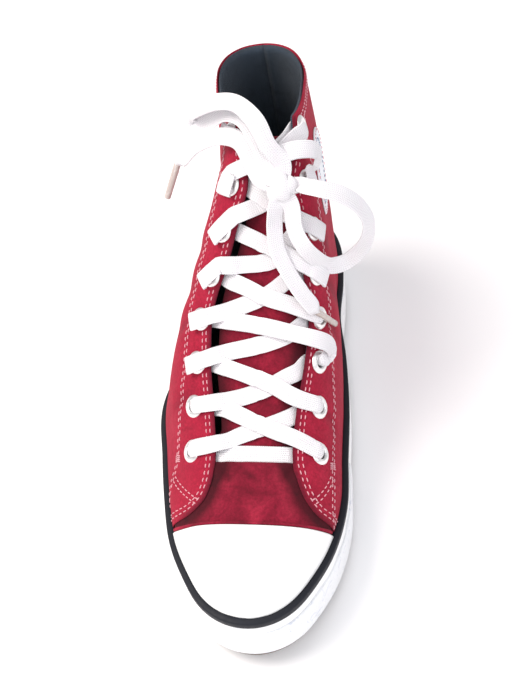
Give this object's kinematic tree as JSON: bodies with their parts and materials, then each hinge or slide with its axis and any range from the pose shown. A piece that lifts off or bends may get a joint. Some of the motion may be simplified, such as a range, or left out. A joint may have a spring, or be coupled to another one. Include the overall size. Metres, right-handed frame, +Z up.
{
  "type": "high-top lace-up sneaker, right shoe",
  "caption": "High-top lace-up sneaker: suede upper on a rubber cupsole, rubber toe cap, tongue, metal eyelets and flat laces tied in a bow.",
  "frame": {"origin": "centre of the shoe's plan box on the floor it stands on", "axes": "+Z up, +Y towards the heel, -Y towards the toe, +X towards the inner side of this right shoe"},
  "size_m": [0.1095, 0.268, 0.1799],
  "materials": {
    "crimson_suede": "soft nap",
    "white_rubber": "satin",
    "charcoal_rubber": "satin",
    "outsole_rubber": "matte",
    "eyelet_steel": "plated",
    "insole_canvas": "woven",
    "lace_cotton": "flat woven",
    "aglet_plastic": "clear film"
  },
  "bodies": {
    "root": {"outsole": "outsole_rubber", "midsole_foxing": "white_rubber", "foxing_stripe": "charcoal_rubber", "insole": "insole_canvas", "upper": "crimson_suede", "toe_cap": "white_rubber", "tongue": "crimson_suede", "eyelet_outer_1": "eyelet_steel", "eyelet_outer_2": "eyelet_steel", "eyelet_outer_3": "eyelet_steel", "eyelet_outer_4": "eyelet_steel", "eyelet_outer_5": "eyelet_steel", "eyelet_outer_6": "eyelet_steel", "eyelet_outer_7": "eyelet_steel", "eyelet_outer_8": "eyelet_steel", "eyelet_inner_1": "eyelet_steel", "eyelet_inner_2": "eyelet_steel", "eyelet_inner_3": "eyelet_steel", "eyelet_inner_4": "eyelet_steel", "eyelet_inner_5": "eyelet_steel", "eyelet_inner_6": "eyelet_steel", "eyelet_inner_7": "eyelet_steel", "eyelet_inner_8": "eyelet_steel", "lace_bar": "lace_cotton", "lace_crossing_1": "lace_cotton", "lace_crossing_2": "lace_cotton", "lace_crossing_3": "lace_cotton", "lace_crossing_4": "lace_cotton", "lace_crossing_5": "lace_cotton", "lace_crossing_6": "lace_cotton", "lace_crossing_7": "lace_cotton", "lace_top_outer": "lace_cotton", "lace_top_inner": "lace_cotton", "lace_knot": "lace_cotton", "lace_loop_inner": "lace_cotton", "lace_loop_outer": "lace_cotton", "lace_end_inner": "lace_cotton", "lace_end_outer": "lace_cotton", "lace_aglet_inner": "aglet_plastic", "lace_aglet_outer": "aglet_plastic"}
  },
  "joints": []
}
